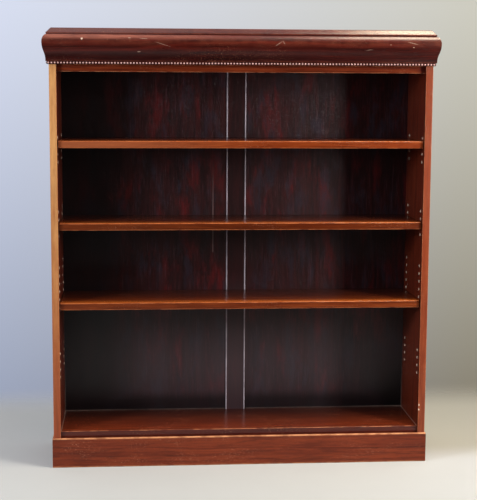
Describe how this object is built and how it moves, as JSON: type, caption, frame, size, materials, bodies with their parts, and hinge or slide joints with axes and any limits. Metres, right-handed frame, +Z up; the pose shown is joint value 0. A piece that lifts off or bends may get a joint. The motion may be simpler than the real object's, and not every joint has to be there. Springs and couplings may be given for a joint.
{
  "type": "bookcase",
  "caption": "Open mahogany bookcase with a moulded and beaded cornice, a plinth, a panelled back and adjustable shelves resting on brass pegs.",
  "frame": {"origin": "on the floor, under the middle of the overall box", "axes": "+X to the right and +Y towards the wall as seen from the front, +Z up"},
  "size_m": [1.213, 0.3034, 1.36],
  "materials": {
    "case_mahogany": "polished red-brown mahogany, semi-gloss",
    "shelf_mahogany": "polished orange-brown mahogany, semi-gloss",
    "cornice_mahogany": "dark polished mahogany, glossy, small chips",
    "back_mahogany": "very dark polished mahogany, vertical grain",
    "softwood": "unfinished aged pine",
    "brass_pegs": "dull aged brass",
    "steel_screws": "dull steel"
  },
  "bodies": {
    "carcass": {"plinth_front": "case_mahogany", "plinth_left": "case_mahogany", "plinth_right": "case_mahogany", "left_side": "case_mahogany", "right_side": "case_mahogany", "bottom_board": "case_mahogany", "top_board": "case_mahogany", "plinth_back": "softwood", "plinth_block_front_left": "softwood", "plinth_block_front_right": "softwood", "plinth_block_rear_left": "softwood", "plinth_block_rear_right": "softwood", "cornice_rail_front": "softwood", "cornice_rail_left": "softwood", "cornice_rail_right": "softwood", "cornice_rail_back": "softwood", "cornice_block_front_left": "softwood", "cornice_block_front_right": "softwood", "cornice_block_rear_left": "softwood", "cornice_block_rear_right": "softwood", "cornice_front": "cornice_mahogany", "cornice_left": "cornice_mahogany", "cornice_right": "cornice_mahogany", "bead_front": "cornice_mahogany", "bead_left": "cornice_mahogany", "bead_right": "cornice_mahogany", "cap_board": "cornice_mahogany", "back_panel_left": "back_mahogany", "back_panel_right": "back_mahogany", "back_muntin": "back_mahogany", "back_screw_bottom_left_outer": "steel_screws", "back_screw_bottom_left_inner": "steel_screws", "back_screw_bottom_centre": "steel_screws", "back_screw_bottom_right_inner": "steel_screws", "back_screw_bottom_right_outer": "steel_screws", "back_screw_top_left_outer": "steel_screws", "back_screw_top_left_inner": "steel_screws", "back_screw_top_centre": "steel_screws", "back_screw_top_right_inner": "steel_screws", "back_screw_top_right_outer": "steel_screws"},
    "shelf_upper": {"shelf_upper": "shelf_mahogany"},
    "peg_upper_front_left": {"peg_upper_front_left": "brass_pegs"},
    "peg_upper_front_right": {"peg_upper_front_right": "brass_pegs"},
    "peg_upper_rear_left": {"peg_upper_rear_left": "brass_pegs"},
    "peg_upper_rear_right": {"peg_upper_rear_right": "brass_pegs"},
    "shelf_middle": {"shelf_middle": "shelf_mahogany"},
    "peg_middle_front_left": {"peg_middle_front_left": "brass_pegs"},
    "peg_middle_front_right": {"peg_middle_front_right": "brass_pegs"},
    "peg_middle_rear_left": {"peg_middle_rear_left": "brass_pegs"},
    "peg_middle_rear_right": {"peg_middle_rear_right": "brass_pegs"},
    "shelf_lower": {"shelf_lower": "shelf_mahogany"},
    "peg_lower_front_left": {"peg_lower_front_left": "brass_pegs"},
    "peg_lower_front_right": {"peg_lower_front_right": "brass_pegs"},
    "peg_lower_rear_left": {"peg_lower_rear_left": "brass_pegs"},
    "peg_lower_rear_right": {"peg_lower_rear_right": "brass_pegs"}
  },
  "joints": [
    {"name": "shelf_upper_lift", "type": "slide", "parent": "carcass", "child": "shelf_upper", "axis": [0, 0, 1], "range_m": [0, 0.198]},
    {"name": "peg_upper_front_left_pull", "type": "slide", "parent": "carcass", "child": "peg_upper_front_left", "axis": [1, 0, 0], "range_m": [0, 0.013]},
    {"name": "peg_upper_front_right_pull", "type": "slide", "parent": "carcass", "child": "peg_upper_front_right", "axis": [-1, 0, 0], "range_m": [0, 0.013]},
    {"name": "peg_upper_rear_left_pull", "type": "slide", "parent": "carcass", "child": "peg_upper_rear_left", "axis": [1, 0, 0], "range_m": [0, 0.013]},
    {"name": "peg_upper_rear_right_pull", "type": "slide", "parent": "carcass", "child": "peg_upper_rear_right", "axis": [-1, 0, 0], "range_m": [0, 0.013]},
    {"name": "shelf_middle_lift", "type": "slide", "parent": "carcass", "child": "shelf_middle", "axis": [0, 0, 1], "range_m": [0, 0.198]},
    {"name": "peg_middle_front_left_pull", "type": "slide", "parent": "carcass", "child": "peg_middle_front_left", "axis": [1, 0, 0], "range_m": [0, 0.013]},
    {"name": "peg_middle_front_right_pull", "type": "slide", "parent": "carcass", "child": "peg_middle_front_right", "axis": [-1, 0, 0], "range_m": [0, 0.013]},
    {"name": "peg_middle_rear_left_pull", "type": "slide", "parent": "carcass", "child": "peg_middle_rear_left", "axis": [1, 0, 0], "range_m": [0, 0.013]},
    {"name": "peg_middle_rear_right_pull", "type": "slide", "parent": "carcass", "child": "peg_middle_rear_right", "axis": [-1, 0, 0], "range_m": [0, 0.013]},
    {"name": "shelf_lower_lift", "type": "slide", "parent": "carcass", "child": "shelf_lower", "axis": [0, 0, 1], "range_m": [0, 0.198]},
    {"name": "peg_lower_front_left_pull", "type": "slide", "parent": "carcass", "child": "peg_lower_front_left", "axis": [1, 0, 0], "range_m": [0, 0.013]},
    {"name": "peg_lower_front_right_pull", "type": "slide", "parent": "carcass", "child": "peg_lower_front_right", "axis": [-1, 0, 0], "range_m": [0, 0.013]},
    {"name": "peg_lower_rear_left_pull", "type": "slide", "parent": "carcass", "child": "peg_lower_rear_left", "axis": [1, 0, 0], "range_m": [0, 0.013]},
    {"name": "peg_lower_rear_right_pull", "type": "slide", "parent": "carcass", "child": "peg_lower_rear_right", "axis": [-1, 0, 0], "range_m": [0, 0.013]}
  ]
}
